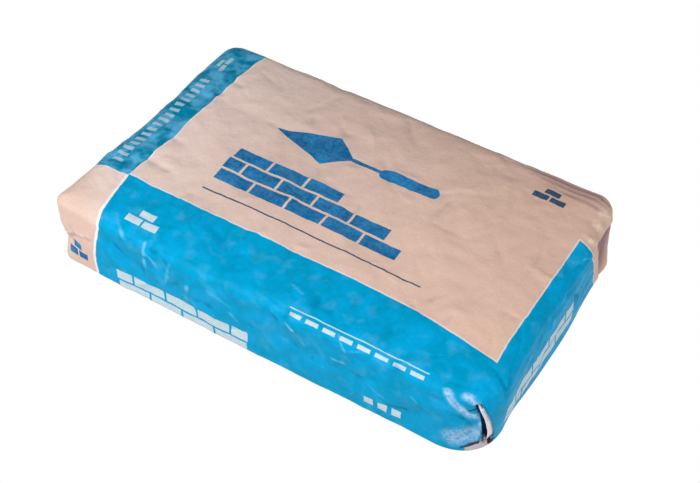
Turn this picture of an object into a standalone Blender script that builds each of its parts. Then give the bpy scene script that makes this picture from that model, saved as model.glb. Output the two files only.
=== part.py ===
"""A filled 50 kg valve sack of cement, lying on its back panel.

Blender's units are metres here, and +Z is up. +X runs along the sack to its valve end, and +Y
to the long side away from the valve. The origin is under the middle of the sack, on the ground.
"""

import math

import bmesh
import bpy
from mathutils import Matrix, Vector

# The sack, filled and settled
LENGTH = 0.660
WIDTH = 0.412
THICKNESS = 0.132

# The long top and base edges: how far each round reaches in from the side, and how far it drops
TOP_REACH = 0.028
TOP_DROP = 0.016
BASE_REACH = 0.027
BASE_DROP = 0.013

# Plan radius of each upright corner, by the signs of x and y
CORNER_ROUNDS = {(-1, -1): 0.012, (1, -1): 0.066, (1, 1): 0.028, (-1, 1): 0.030}

# How far each corner stands out of the plain box along x and y, or lies back from it, at the top.
# The near left one is a dog ear.
CORNER_SHIFTS = {
    (-1, -1): (0.006, -0.006),
    (1, -1): (0.011, 0.0),
    (1, 1): (-0.0115, 0.0),
    (-1, 1): (-0.0065, 0.0),
}
CORNER_SPREAD = 0.110
SHIFT_AT_BASE = 0.4

# The pinch that each end block leaves in an upright corner
TUCK_DEPTH = 0.007
TUCK_MIDDLE = 0.050
TUCK_HALF_HEIGHT = 0.032
TUCK_SPREAD = 0.045

# The crown of the top panel, round the flat that the next sack rests on
CROWN_DROP = 0.004
CROWN_MARGIN = 0.085

# The folded end blocks: the outer flap's plies, its free edge above the ground, and how far in
# from an upright corner it lies flat on the wall again
FLAP_PLY = 0.0020
FLAP_EDGE_HEIGHT = 0.016
FLAP_FADE = 0.028
STEP_RUN = 0.0012

# The valve mouth at the near right corner: its lip is the end block's short edge
LIP_INSET = 0.026
LIP_LEAN = 0.26
LIP_LEAN_SPREAD = 0.070
LIP_THICKNESS = 0.0016
MOUTH_MIDDLE = 0.066
MOUTH_HEIGHT = 0.076
MOUTH_DEPTH = 0.040
MOUTH_GAP = 0.0056
MOUTH_TURN = math.radians(98)
DIP_DEPTH = 0.0080
DIP_RUN = 0.028
DIP_MARGIN = 0.016

# The valve sleeve, a flattened paper tube that shows at the mouth
SLEEVE_WALL = 0.0008
SLEEVE_CLEARANCE = 0.0004
SLEEVE_PROUD = 0.006
SLEEVE_END_SEGMENTS = 6

# Lattice counts over the whole sack; the lines crowd towards its edges
COUNT_X = 40
COUNT_Y = 28
COUNT_Z = 14

KRAFT = (0.62, 0.45, 0.35)
SLEEVE_KRAFT = (0.50, 0.33, 0.23)

LIP_Y = LIP_INSET - WIDTH / 2


def clear_scene():
    for thing in list(bpy.data.objects):
        bpy.data.objects.remove(thing, do_unlink=True)


def paper(name, colour, roughness):
    material = bpy.data.materials.new(name)
    material.use_nodes = True
    shader = material.node_tree.nodes["Principled BSDF"]
    shader.inputs["Base Color"].default_value = (*colour, 1.0)
    shader.inputs["Roughness"].default_value = roughness
    shader.inputs["Metallic"].default_value = 0.0
    return material


def smoothstep(low, high, value):
    t = min(max((value - low) / (high - low), 0.0), 1.0)
    return t * t * (3 - 2 * t)


def side_of(p):
    """The signs of x and y, which name one of the four upright corners."""
    return (1 if p.x > 0 else -1, 1 if p.y > 0 else -1)


def stations(half, count):
    """Lattice lines from -half to half, crowded towards both ends."""
    return [half * math.sin(math.pi * (i / count - 0.5)) for i in range(1, count)]


def step_lines(place):
    """The two close lines between which a ply ends."""
    return [place - STEP_RUN / 2, place + STEP_RUN / 2]


def cut_across(mesh, axis, places):
    """Cuts the whole mesh by planes across one axis."""
    normal = Vector([float(axis == i) for i in range(3)])
    for place in places:
        everything = mesh.verts[:] + mesh.edges[:] + mesh.faces[:]
        bmesh.ops.bisect_plane(mesh, geom=everything, plane_co=normal * place, plane_no=normal, dist=1e-6)


def near_corner(p, spread):
    """1 at an upright corner of the box, and 0 beyond spread from it along either side."""
    along = smoothstep(LENGTH / 2 - spread, LENGTH / 2, abs(p.x))
    across = smoothstep(WIDTH / 2 - spread, WIDTH / 2, abs(p.y))
    return along * across


def lean_lip(box):
    """Slides the lattice along the end wall, so that the valve's lip leans as it climbs."""
    if box.x < LENGTH / 2 - STEP_RUN:
        return box
    half = MOUTH_HEIGHT / 2
    rise = min(max(box.z - MOUTH_MIDDLE, -half), half)
    near = 1 - smoothstep(0.0, LIP_LEAN_SPREAD, abs(box.y - LIP_Y))
    keep = smoothstep(0.0, LIP_INSET, box.y + WIDTH / 2)
    return box - Vector((0, LIP_LEAN * rise * near * keep, 0))


def section_round(p):
    """Rounds the long top and base edges: the square ring round the box turns into an arc."""
    above = p.z > THICKNESS / 2
    reach = TOP_REACH if above else BASE_REACH
    drop = TOP_DROP if above else BASE_DROP
    rise = THICKNESS - drop if above else drop
    up = max((p.z - rise) * (1 if above else -1), 0.0) / drop
    along = max(abs(p.x) - (LENGTH / 2 - reach), 0.0) / reach
    across = max(abs(p.y) - (WIDTH / 2 - reach), 0.0) / reach
    out = max(along, across)
    if up == 0 or out == 0:
        return p
    pull = 1 - max(up, out) / math.hypot(up, out)
    x = math.copysign(abs(p.x) - along * reach * pull, p.x)
    y = math.copysign(abs(p.y) - across * reach * pull, p.y)
    z = p.z - math.copysign(up * drop * pull, p.z - THICKNESS / 2)
    return Vector((x, y, z))


def corner_round(p):
    """Rounds the four upright corners in plan, each with its own radius."""
    side = side_of(p)
    radius = CORNER_ROUNDS[side]
    along = abs(p.x) - (LENGTH / 2 - radius)
    across = abs(p.y) - (WIDTH / 2 - radius)
    if along <= 0 or across <= 0:
        return p
    share = max(along, across) / math.hypot(along, across)
    x = side[0] * (LENGTH / 2 - radius + along * share)
    y = side[1] * (WIDTH / 2 - radius + across * share)
    return Vector((x, y, p.z))


def outward(p):
    """The level way out of the sack's wall, at a point near the wall."""
    side = side_of(p)
    radius = CORNER_ROUNDS[side]
    along = max(abs(p.x) - (LENGTH / 2 - radius), 0.0)
    across = max(abs(p.y) - (WIDTH / 2 - radius), 0.0)
    if along == across == 0:
        return Vector((0, 0, 0))
    return Vector((side[0] * along, side[1] * across, 0)).normalized()


def flap(p, box):
    """Lifts the outer flap's plies off the end wall: full at its free edge, none at the top crease."""
    if abs(box.x) < LENGTH / 2 - STEP_RUN or box.z <= FLAP_EDGE_HEIGHT:
        return p
    height = 1 - smoothstep(THICKNESS - 2 * TOP_DROP, THICKNESS - TOP_DROP, p.z)
    if side_of(box) == (1, -1):
        reach = 1.0 if box.y > LIP_Y else 0.0
    else:
        reach = smoothstep(0.0, FLAP_FADE, WIDTH / 2 - abs(box.y))
    return p + outward(p) * FLAP_PLY * height * reach


def tuck(p, box):
    """Pinches an upright corner in. The valve corner has its mouth instead."""
    if side_of(box) == (1, -1):
        return p
    level = max(1 - abs(p.z - TUCK_MIDDLE) / TUCK_HALF_HEIGHT, 0.0)
    return p - outward(p) * TUCK_DEPTH * level * near_corner(box, TUCK_SPREAD)


def dip(p, box):
    """Leads the near long side in behind the valve's lip."""
    if side_of(box) != (1, -1) or box.y > LIP_Y:
        return p
    before_lip = (LENGTH / 2 - box.x) + (LIP_Y - box.y)
    run = 1 - smoothstep(0.0, DIP_RUN, before_lip)
    off_middle = abs(p.z - MOUTH_MIDDLE) - MOUTH_HEIGHT / 2
    level = 1 - smoothstep(0.0, DIP_MARGIN, off_middle)
    return p - outward(p) * DIP_DEPTH * run * level


def crown(p):
    """Lets the top panel fall a little towards its edges, outside the flat in its middle."""
    inside = min(LENGTH / 2 - abs(p.x), WIDTH / 2 - abs(p.y))
    high = smoothstep(THICKNESS / 2, THICKNESS, p.z)
    fall = 1 - smoothstep(0.0, CROWN_MARGIN, inside)
    return p - Vector((0, 0, CROWN_DROP * high * fall))


def shift_corner(p):
    """Draws each corner of the ends out or in, least at the base."""
    side = side_of(p)
    along, across = CORNER_SHIFTS[side]
    height = SHIFT_AT_BASE + (1 - SHIFT_AT_BASE) * smoothstep(0.0, THICKNESS, p.z)
    share = near_corner(p, CORNER_SPREAD) * height
    return p + Vector((side[0] * along, side[1] * across, 0)) * share


def settle(box):
    """Where a point of the plain box lies on the filled sack."""
    p = corner_round(section_round(lean_lip(box)))
    p = flap(p, box)
    p = tuck(p, box)
    p = dip(p, box)
    p = crown(p)
    return shift_corner(p)


def object_from(mesh, name, material):
    bmesh.ops.recalc_face_normals(mesh, faces=mesh.faces)
    data = bpy.data.meshes.new(name)
    mesh.to_mesh(data)
    mesh.free()
    thing = bpy.data.objects.new(name, data)
    bpy.context.scene.collection.objects.link(thing)
    data.materials.append(material)
    return thing


def filled_sack():
    mesh = bmesh.new()
    bmesh.ops.create_cube(mesh, size=1.0)
    bmesh.ops.scale(mesh, vec=(LENGTH, WIDTH, THICKNESS), verts=mesh.verts)
    bmesh.ops.translate(mesh, vec=(0, 0, THICKNESS / 2), verts=mesh.verts)
    cut_across(mesh, 0, stations(LENGTH / 2, COUNT_X))
    cut_across(mesh, 1, stations(WIDTH / 2, COUNT_Y) + step_lines(LIP_Y))
    levels = [THICKNESS / 2 + level for level in stations(THICKNESS / 2, COUNT_Z)]
    cut_across(mesh, 2, levels + step_lines(FLAP_EDGE_HEIGHT))
    for vertex in mesh.verts:
        vertex.co = settle(vertex.co.copy())
    return object_from(mesh, "sack", paper("kraft_sack_paper", KRAFT, 0.62))


def lip_point(height):
    """A point under the valve's lip, on the inner face of the outer flap."""
    point = corner_round(lean_lip(Vector((LENGTH / 2, LIP_Y, height))))
    return shift_corner(point + outward(point) * (FLAP_PLY - LIP_THICKNESS))


def mouth_frame():
    """The valve mouth's frame: x runs into the sack, y to its inner wall and z up along the lip."""
    low = lip_point(MOUTH_MIDDLE - MOUTH_HEIGHT / 2)
    high = lip_point(MOUTH_MIDDLE + MOUTH_HEIGHT / 2)
    climb = (high - low).normalized()
    inward = Vector((math.cos(MOUTH_TURN), math.sin(MOUTH_TURN), 0))
    inward = (inward - climb * inward.dot(climb)).normalized()
    across = climb.cross(inward)
    turn = Matrix((inward, across, climb)).transposed().to_4x4()
    return Matrix.Translation((low + high) / 2 + across * MOUTH_GAP / 2) @ turn


def mouth_cutter():
    """The flat slot that the valve sleeve lies in."""
    start = -2 * SLEEVE_PROUD
    mesh = bmesh.new()
    bmesh.ops.create_cube(mesh, size=1.0)
    bmesh.ops.scale(mesh, vec=(MOUTH_DEPTH - start, MOUTH_GAP, MOUTH_HEIGHT), verts=mesh.verts)
    bmesh.ops.translate(mesh, vec=((MOUTH_DEPTH + start) / 2, 0, 0), verts=mesh.verts)
    bmesh.ops.transform(mesh, matrix=mouth_frame(), verts=mesh.verts)
    cutter = object_from(mesh, "mouth_cutter", paper("cutter", KRAFT, 1.0))
    cutter.display_type = "WIRE"
    cutter.hide_render = True
    return cutter


def racetrack(mesh, width, thickness):
    """A flattened ring of vertices across the x axis, with round ends."""
    radius = thickness / 2
    ring = []
    for end in (1, -1):
        for i in range(SLEEVE_END_SEGMENTS + 1):
            turn = math.pi * i / SLEEVE_END_SEGMENTS
            y = end * radius * math.cos(turn)
            z = end * (width / 2 - radius + radius * math.sin(turn))
            ring.append(mesh.verts.new((-SLEEVE_PROUD, y, z)))
    return ring


def valve_sleeve():
    """A flattened tube of paper, open at both ends, pressed shut to a narrow slit."""
    width = MOUTH_HEIGHT - 2 * SLEEVE_CLEARANCE
    thickness = MOUTH_GAP - 2 * SLEEVE_CLEARANCE
    mesh = bmesh.new()
    outer = racetrack(mesh, width, thickness)
    inner = racetrack(mesh, width - 2 * SLEEVE_WALL, thickness - 2 * SLEEVE_WALL)
    for i in range(len(outer)):
        mesh.faces.new((outer[i - 1], outer[i], inner[i], inner[i - 1]))
    drawn = bmesh.ops.extrude_face_region(mesh, geom=mesh.faces[:])["geom"]
    far_end = [piece for piece in drawn if isinstance(piece, bmesh.types.BMVert)]
    depth = SLEEVE_PROUD + MOUTH_DEPTH - SLEEVE_CLEARANCE
    bmesh.ops.translate(mesh, vec=(depth, 0, 0), verts=far_end)
    bmesh.ops.transform(mesh, matrix=mouth_frame(), verts=mesh.verts)
    return object_from(mesh, "valve_sleeve", paper("kraft_valve_paper", SLEEVE_KRAFT, 0.7))


def centre(things, sack):
    """Moves everything so that the origin lies under the middle of the sack's reach."""
    xs = [vertex.co.x for vertex in sack.data.vertices]
    ys = [vertex.co.y for vertex in sack.data.vertices]
    shift = Vector((-(min(xs) + max(xs)) / 2, -(min(ys) + max(ys)) / 2, 0))
    for thing in things:
        thing.data.transform(Matrix.Translation(shift))


def main():
    clear_scene()
    sack = filled_sack()
    cutter = mouth_cutter()
    sleeve = valve_sleeve()
    centre((sack, cutter, sleeve), sack)
    mouth = sack.modifiers.new("valve_mouth", "BOOLEAN")
    mouth.operation = "DIFFERENCE"
    mouth.object = cutter
    for thing in (sack, sleeve):
        thing.data.shade_smooth()
        thing.data.set_sharp_from_angle(angle=math.radians(40))


main()
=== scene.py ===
"""The looks of a filled 50 kg valve sack of cement, lying on its back panel.

Blender's units are metres here. +X runs along the sack to its valve end, +Y to the long side
away from the valve, and +Z up out of the top panel.

The paper starts as a plain box of small cells, and each point of the box is moved to where it
lies on the filled sack. Print and creases are laid out on the flat sheet that the box unfolds to:
u along the sack, and v across the top panel, on down the near side below it and up the far side
beyond it. The ends are the sheet's two wings.
"""

import math

import bmesh
import bpy
import numpy as np
from mathutils import Matrix, Vector, geometry, noise
from mathutils.bvhtree import BVHTree


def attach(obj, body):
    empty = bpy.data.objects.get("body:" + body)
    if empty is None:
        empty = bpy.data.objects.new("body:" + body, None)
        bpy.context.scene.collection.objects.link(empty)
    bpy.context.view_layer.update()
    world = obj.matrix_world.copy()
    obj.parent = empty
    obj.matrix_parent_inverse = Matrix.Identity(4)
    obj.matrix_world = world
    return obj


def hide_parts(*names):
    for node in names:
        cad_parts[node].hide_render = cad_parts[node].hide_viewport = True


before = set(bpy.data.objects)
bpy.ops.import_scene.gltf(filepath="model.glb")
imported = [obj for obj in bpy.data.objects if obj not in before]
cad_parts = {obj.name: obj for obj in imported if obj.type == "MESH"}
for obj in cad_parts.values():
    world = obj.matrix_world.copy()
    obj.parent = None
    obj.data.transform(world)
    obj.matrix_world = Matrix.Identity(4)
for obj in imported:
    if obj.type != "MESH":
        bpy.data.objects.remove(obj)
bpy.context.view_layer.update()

# The camera, fitted to the sack's outline in the photograph
CAMERA_AZIMUTH = math.radians(31.12)
CAMERA_ELEVATION = math.radians(47.12)
CAMERA_ROLL = math.radians(0.67)
CAMERA_LENS_MM = 68.29
CAMERA_DISTANCE = 1.8333
CAMERA_TARGET = Vector((0.0198, -0.0061, 0.06))

# The studio. A softbox is aimed at the sack: its place, its diameter and its power in watts
WORLD_STRENGTH = 0.3
FLOOR_SIZE = 400.0
SOFTBOXES = {
    "left_softbox": ((-0.62, -1.30, 1.24), 0.7, 33),
    "right_softbox": ((1.39, -0.44, 1.28), 0.9, 18),
}

# The sack, filled and settled, as its solid has it
LENGTH = 0.660
WIDTH = 0.412
THICKNESS = 0.132
TOP_REACH = 0.028
TOP_DROP = 0.016
BASE_REACH = 0.027
BASE_DROP = 0.013
CORNER_ROUNDS = {(-1, -1): 0.012, (1, -1): 0.066, (1, 1): 0.028, (-1, 1): 0.030}
CORNER_PULLS_X = {(-1, -1): 0.006, (1, -1): 0.011, (1, 1): -0.0115, (-1, 1): -0.0065}
CORNER_PULLS_Y = {(-1, -1): -0.006, (1, -1): 0.0, (1, 1): 0.0, (-1, 1): 0.0}
CORNER_SPREAD = 0.110
PULL_AT_BASE = 0.4
TUCK_DEPTH = 0.007
TUCK_MIDDLE = 0.050
TUCK_HALF_HEIGHT = 0.032
TUCK_SPREAD = 0.045
CROWN_DROP = 0.004
CROWN_MARGIN = 0.085

# The outer flap of each folded end: its plies, its free edge, and its fade at an upright corner
FLAP_PLY = 0.0020
FLAP_EDGE_HEIGHT = 0.016
FLAP_FADE = 0.028
STEP_RUN = 0.0008

# The edge of the valve's lip along the wall. It leaves its column of the lattice above the ground,
# leans and curves over as it climbs, and joins the column again below the top.
LIP_FOOT = (-0.175, 0.035)
LIP_LEAN = 0.13
LIP_CURVE = 4.6
LIP_SPREAD = 0.080
LIP_COLUMN = -0.195
LIP_FADES = ((0.004, 0.022), (0.117, 0.130))
LIP_LIFT = 0.0018
LIP_LIFT_RUN = 0.030

# The valve's mouth: the gap before the lip, the swollen lobe before the gap, and the slit that the
# lobe hangs over
MOUTH_LOW = 0.030
MOUTH_HIGH = 0.115
MOUTH_END = 0.010
GAP_WIDTH = 0.020
GAP_TOP_WIDTH = 0.010
GAP_DEPTH = 0.0078
GAP_EDGE = 0.0050
GAP_START = 0.010
GAP_RISE = 0.006
GAP_FALL = 0.004
LOBE_HEIGHT = 0.0035
LOBE_REACH = 0.075
LOBE_FADE = (0.055, 0.100)
SLIT_HEIGHT = 0.0425
SLIT_FALL = 0.32
SLIT_DEPTH = 0.0025
SLIT_FADE = (0.036, 0.060)
SLIT_EDGE = 0.0030
SLIT_SOFTNESS = 0.0060
# The painted shade inside the mouth: how it eases in at the mouth's ends, and how it fades along the wall
SHADE_RUN = 0.006
SHADE_FADE = (0.007, 0.018)

# The fold of paper that lines the mouth: its columns, as how far each lies in under the flap and
# how far out of the wall. The first is the lip's crest.
LINING = ((0.0, 0.0036), (0.0002, 0.0028), (0.016, 0.0014), (0.016, -0.0044), (-0.0010, -0.0078))
LINING_STEP = 0.0003

# The valve sleeve. Its head and its foot curl on from a height, over a run.
SLEEVE_DEPTH = 0.0150
SLEEVE_NARROWING = 0.0075
SLEEVE_NARROW_AT = 0.4
SLEEVE_PLY = 0.0005
SLEEVE_FOLD = 4.0
SLEEVE_ROUNDNESS = 1.08
SLEEVE_CLEARANCE = 0.0015
SLEEVE_INNER_EDGE = 0.0010
SLEEVE_PROUD = 0.0125
SLEEVE_HEAD = (0.092, 0.020, 0.0040)
SLEEVE_FOOT = (0.052, 0.022, 0.0030)
SLEEVE_FOOT_DROP = 0.0090
SLEEVE_RAGGEDNESS = 0.0010
SLEEVE_RAGS = 0.014
SLEEVE_RAG_SEED = 31
SLEEVE_ROOF = -0.0013
SLEEVE_ROOF_FALL = (0.0010, 0.010)
SLEEVE_FLOOR = -0.0062
SLEEVE_FLOOR_CLIMB = 0.20
SLEEVE_CURL_RUN = 0.010
SLEEVE_CURL = 0.0012
SLEEVE_CELLS = (24, 160)
SLEEVE_CROWDING = 1.6

# The paper's lattice: cells along each axis, and how much closer they lie towards the edges
CELLS = (221, 139, 50)
CROWDING = 0.24
SAME_PLACE = 1e-5
CUT_TOLERANCE = 1e-6
SEAM_TOLERANCE = 1e-7
SHARP_FROM = math.radians(50)

# Crumples: how far apart the facets' corners lie, how high, the seed, and how much of the sheet.
# Soft windows of noise let them through in places, with edges and seeds of their own. Ripples are
# the wide soft waves below them: size, height and seed.
CRUMPLES = ((0.075, 0.0020, 3, 0.4), (0.034, 0.0018, 4, 0.15), (0.015, 0.0006, 5, 0.0))
RIPPLES = ((0.120, 0.0009, 1), (0.055, 0.0005, 2))
RIPPLE_SHIFT = Vector((17.3, 5.1, 11.7))
JITTER = 0.42
WINDOW_SIZE = 1.3
WINDOW_EDGE = 0.25
WINDOW_SEEDS = 20
SHEET_LOW = np.array((-0.50, -0.85))
SHEET_HIGH = np.array((0.50, 0.40))

# Where the paper is calm: how calm, and how far that reaches
TOP_CALM = 0.05
TOP_EDGE = (0.004, 0.05)
UPRIGHT_EDGE = 0.02
FAR_CALM = 0.55
FAR_REACH = 0.035
NEAR_CRUMPLE = 0.30
NEAR_REACH = 0.010
BASE_CALM = 0.75
BASE_CALM_FADE = (0.014, 0.038)
CORNER_CALM = 0.85
MOUTH_CALM_REACH = (0.024, 0.050)
MOUTH_CALM_RISE = (0.004, 0.016)

# Small folds placed by chance: how many, the part of the sheet, half the length, the usual height,
# the width, and whether the corners' pull flattens them
SCATTERED = (
    (240, ((-0.44, -0.75), (0.44, 0.33)), (0.012, 0.055), 0.0012, (0.003, 0.009), False),
    (1100, ((-0.44, -0.46), (0.44, 0.33)), (0.012, 0.034), 0.0009, (0.0035, 0.0065), True),
)
SCATTER_SEED = 8

# Folds that the photograph shows, and those of the left end: start, end, height and width
CREASES = (
    ((-0.128, -0.205), (-0.150, -0.295), 0.0018, 0.005),
    ((-0.255, -0.165), (-0.195, -0.240), 0.0018, 0.007),
    ((-0.232, -0.170), (-0.245, -0.240), 0.0014, 0.006),
    ((0.000, -0.150), (0.050, -0.175), 0.0010, 0.004),
    ((0.120, -0.200), (0.150, -0.255), 0.0014, 0.006),
    ((0.150, -0.255), (0.185, -0.215), 0.0012, 0.006),
    ((0.345, 0.113), (0.296, 0.113), 0.0014, 0.004),
    ((0.314, 0.152), (0.353, 0.170), 0.0014, 0.004),
    ((0.285, 0.135), (0.335, 0.150), -0.0010, 0.004),
    ((0.190, 0.176), (0.318, 0.174), -0.0014, 0.0035),
    ((0.140, 0.198), (0.312, 0.188), -0.0014, 0.0035),
    ((-0.335, -0.092), (-0.262, -0.106), -0.0020, 0.006),
    ((-0.335, -0.036), (-0.260, -0.052), -0.0020, 0.006),
    ((-0.335, 0.020), (-0.262, 0.008), -0.0020, 0.006),
    ((-0.335, 0.078), (-0.262, 0.068), -0.0020, 0.006),
    ((-0.335, 0.128), (-0.262, 0.142), -0.0022, 0.006),
    ((-0.335, -0.064), (-0.264, -0.078), 0.0014, 0.005),
    ((-0.335, -0.008), (-0.264, -0.024), 0.0014, 0.005),
    ((-0.335, 0.050), (-0.264, 0.036), 0.0014, 0.005),
    ((-0.335, 0.104), (-0.264, 0.106), 0.0014, 0.005),
)
LEDGES = (
    ((-0.322, -0.285), (-0.298, -0.264), 0.0014, 0.018),
    ((-0.304, -0.267), (-0.262, -0.255), 0.0014, 0.018),
)
LEDGE_EDGE = 0.0008
LEDGE_UNDERCUT = 0.4

# Hollows of the ends: which end, where across and how high, how far they reach, and how deep
HOLLOWS = (
    (-1, 0.050, 0.130, 0.130, 0.100, 0.0065),
    (1, -0.120, 0.015, 0.080, 0.060, 0.0040),
    (1, 0.115, 0.015, 0.080, 0.060, 0.0035),
)
HOLLOW_FADE = 0.09

# The fold at the far right corner: its tip, the fall of its upper edge, the turn of its side, how
# far it reaches, its slant, and how steeply its three facets go in
DART_TIP = (0.113, 0.121)
DART_FALL = -0.25
DART_SIDE = math.radians(21)
DART_REACH = 0.200
DART_SLANT = 0.35
DART_SLANT_TOP = 0.1
DART_DEPTH = 0.0060
DART_SLOPES = (0.55, 0.40, 0.25)

# Wear and painted light. A bend that stands out is rubbed pale, partly by wear and partly as painted
# highlight, and one that sinks in gets painted shade, from one sharpness to another. Creases with
# painted shade and creases with painted highlights: start, end, width and strength. Scuffs, where the
# ink is off round the mouth: start, end, reach and strength
BEND_RANGE = (0.010, 0.055)
EVENING_PASSES = 5
TOP_PANEL_RUN = 0.006
WEAR_AND_SHEEN_ON_TOP = 0.6
FOLD_SHADE_SHARE = 0.6
FOLD_SHADE_ON_TOP = 0.35
# Painted shade: dark streaks along the far top edge and its creases
SHADED_CREASES = (
    ((0.150, 0.197), (0.375, 0.191), 0.0060, 1.0),
    ((0.180, 0.182), (0.350, 0.178), 0.0030, 1.0),
    ((0.230, 0.171), (0.335, 0.166), 0.0022, 0.9),
    ((-0.260, 0.214), (0.300, 0.214), 0.0060, 0.5),
)
# Painted highlights: pale streaks along folds of the kraft and of the blue ink
HIGHLIT_CREASES = (
    ((0.310, 0.106), (0.350, 0.120), 0.008, 0.9),
    ((0.302, 0.138), (0.352, 0.146), 0.009, 1.0),
    ((0.304, 0.160), (0.354, 0.172), 0.010, 1.0),
    ((0.200, 0.1885), (0.340, 0.1850), 0.0012, 0.9),
    ((-0.131, -0.205), (-0.150, -0.292), 0.0028, 0.8),
    ((0.112, -0.196), (0.136, -0.226), 0.0028, 0.7),
    ((0.132, -0.226), (0.172, -0.206), 0.0028, 0.7),
    ((-0.252, -0.162), (-0.196, -0.238), 0.0040, 0.6),
    ((0.018, -0.160), (0.062, -0.174), 0.0040, 0.6),
    ((-0.095, -0.232), (-0.020, -0.262), 0.0050, 0.5),
    ((0.152, -0.262), (0.205, -0.292), 0.0060, 0.5),
)
SCUFFS = (
    ((0.271, -0.211), (0.282, -0.228), 0.007, 0.75),
    ((0.284, -0.228), (0.303, -0.249), 0.008, 0.75),
    ((0.292, -0.211), (0.303, -0.215), 0.007, 0.75),
    ((0.303, -0.218), (0.316, -0.224), 0.006, 0.75),
    ((0.303, -0.247), (0.320, -0.250), 0.007, 0.85),
    ((0.290, -0.300), (0.326, -0.284), 0.024, 0.62),
    ((0.327, -0.288), (0.328, -0.262), 0.010, 0.70),
)

# Colours of the paper and of its inks, of its painted shade and highlights, and of the studio
KRAFT_LOW = "#baa59c"
KRAFT_HIGH = "#c3b1aa"
KRAFT_WARM = "#c7a695"
# Painted shade at the near left corner of the kraft
KRAFT_NEAR_LEFT_SHADE = "#b49a8c"
# Kraft rubbed pale along bends, partly by wear and partly as painted highlight
KRAFT_WORN_AND_LIT = "#ead7c9"
BLEACHED = "#d2cdcc"
BAND_INK_LOW = "#0084ab"
BAND_INK_HIGH = "#038fc0"
STRIPE_INK_LOW = "#006f90"
STRIPE_INK_HIGH = "#4a98be"
# Ink rubbed pale along bends, partly by wear and partly as painted highlight, and the tone of the painted
# sheen patches
WORN_AND_SHEEN_INK = "#6fb3d8"
BARE_PAPER = "#a9bfdc"
PALE_PRINT = "#b2c0c4"
DEEP_INK_LOW = "#025888"
DEEP_INK_HIGH = "#1370a2"
LINE_INK = "#2a4560"
BASE_STRIP = "#b5a9a5"
TORN_PAPER = "#b3aeb2"
WHITE = "#ffffff"
BLACK = "#000000"
# The tint of the painted shade in sunken folds, the far right corner's fold and the dark creases
SHADE_TINT_COLOUR = "#ac9fbb"
DEEP_SHADE = "#3a2f36"
SLEEVE_KRAFT = "#c6b8b4"
SLEEVE_DUST = "#d6d1da"

# Sizes of the patterns on the paper. Real fibres are a few hundredths of a millimetre wide, far too
# fine to show, so they are drawn in tufts of 2.0 to 2.5 mm.
FIBRES = 0.0025
SLEEVE_FIBRES = 0.002
DUST = 0.012
FLAKES = 0.0045
EDGE_WANDER = 0.012
CRINKLES = 0.015
PATCHES = 0.020
# Painted sheen patches on the blue ink
SHEEN_PATCHES = 0.022
MOTTLE = 0.028
CLOUDS = 0.045
STRIPE_WAVES = 0.055

# Edges of the inks on the sheet. Each line has its ink on the right.
BAND_EDGE = ((-0.262, -0.1170), (0.100, -0.1170))
BAND_EDGE_RIGHT = ((0.160, -0.1180), (0.305, -0.1375))
BAND_START = -0.268
BAND_START_BEND = (((-0.2525, -0.223), (-0.268, -0.115)), ((-0.268, -0.300), (-0.2525, -0.223)))
BAND_UNDER = 0.42
VALVE_END_EDGE = ((0.3055, -0.138), (0.3075, 0.095))
VALVE_END_FAR = (((0.312, 0.101), (0.350, 0.096)), ((0.344, 0.094), (0.420, 0.126)))
STRIPE_EDGE = ((-0.258, 0.180), (-0.268, -0.110))
STRIPE_NEAR = ((-0.258, -0.118), (-0.340, -0.121))
STRIPE_WAVE = 0.010
TRAP_WIDTH = 0.0020
EDGE_ROUGHNESS = 0.0022
PRINT_EDGE = 0.0003
MORTAR_SOFTNESS = 0.2

# The design. A block is its middle and its size. A wall is its start, its brick, its joint and the
# blocks that its courses fill, a stack its start, brick and joint, and a row of dashes its start,
# length, height, pitch and the share of the pitch that a dash fills.
WALL = ((-0.170, -0.062), (0.058, 0.024), 0.0042, (
    ((0.145, 0.012), (0.290, 0.024)),
    ((0.1305, 0.036), (0.261, 0.024)),
    ((0.087, 0.060), (0.174, 0.024)),
))
TROWEL_BLADE = ((-0.150, 0.071), (-0.060, 0.101), (-0.022, 0.071), (-0.060, 0.041))
TROWEL_NECK = ((0.000, 0.071), (0.050, 0.006))
TROWEL_HANDLE = ((0.066, 0.071), (0.092, 0.019), 0.009)
TOP_RULE = ((0.000, -0.082), (0.340, 0.0024))
FAR_STACK = ((0.215, 0.140), (0.026, 0.013), 0.003)
LEFT_STACK = ((-0.318, -0.312), (0.018, 0.015), 0.003)
SIDE_WALL = ((-0.232, -0.333), (0.054, 0.021), 0.004, (((0.108, 0.021), (0.216, 0.042)),))
SIDE_STACK = ((-0.226, -0.186), (0.027, 0.014), 0.0035)
SIDE_RULE = ((0.145, -0.196), (0.200, 0.0022))
SIDE_DASHES = ((0.045, -0.209), 0.200, 0.0065, 0.025, 0.72)
SIDE_SQUARES = ((0.160, -0.305), 0.060, 0.013, 0.020, 0.65)
END_WALL = ((-0.150, -0.428), (0.050, 0.020), 0.004, (((0.100, 0.020), (0.200, 0.040)),))
STRIPE_TICKS = ((-0.105, 0.303), 0.210, 0.018, 0.0125, 0.48)
STRIPE_STACK = ((0.130, 0.292), (0.018, 0.010), 0.003)

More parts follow.
